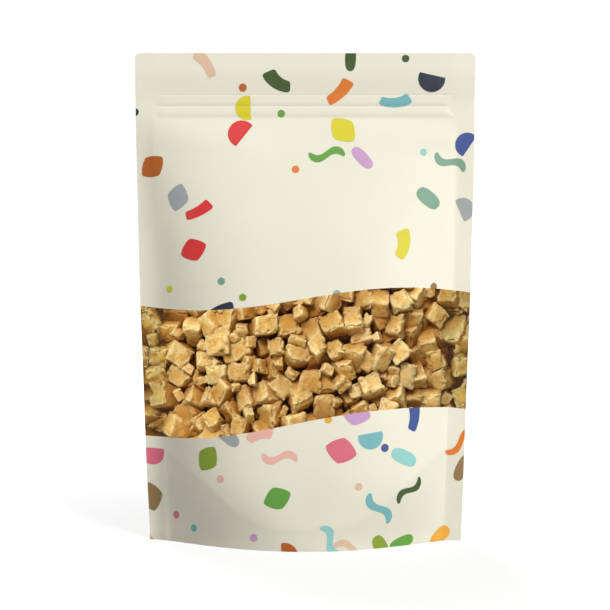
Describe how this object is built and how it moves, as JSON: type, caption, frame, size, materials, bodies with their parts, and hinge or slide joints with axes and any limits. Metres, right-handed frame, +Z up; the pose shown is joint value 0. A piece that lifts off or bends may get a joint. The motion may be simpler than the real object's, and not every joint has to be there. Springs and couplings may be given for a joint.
{
  "type": "stand-up pouch of caramel cubes",
  "caption": "Filled stand-up pouch with side seals, a zip and a gusseted base; a wavy clear band across the front shows caramel cubes.",
  "frame": {"origin": "centre of the base, on the surface that the pouch stands on", "axes": "+Z up, +X along the width to the right seen from the front, the front with the clear band faces -Y"},
  "size_m": [0.16, 0.052, 0.23],
  "materials": {
    "printed_film": "matte cream printed film with scattered shapes in many colours",
    "caramel": "crumbly cut caramel, light golden brown, with chipped edges and small holes",
    "clear_film": "clear film with a faint satin sheen"
  },
  "bodies": {
    "root": {"pouch": "printed_film", "caramel_cubes": "caramel", "window_film": "clear_film"}
  },
  "joints": []
}
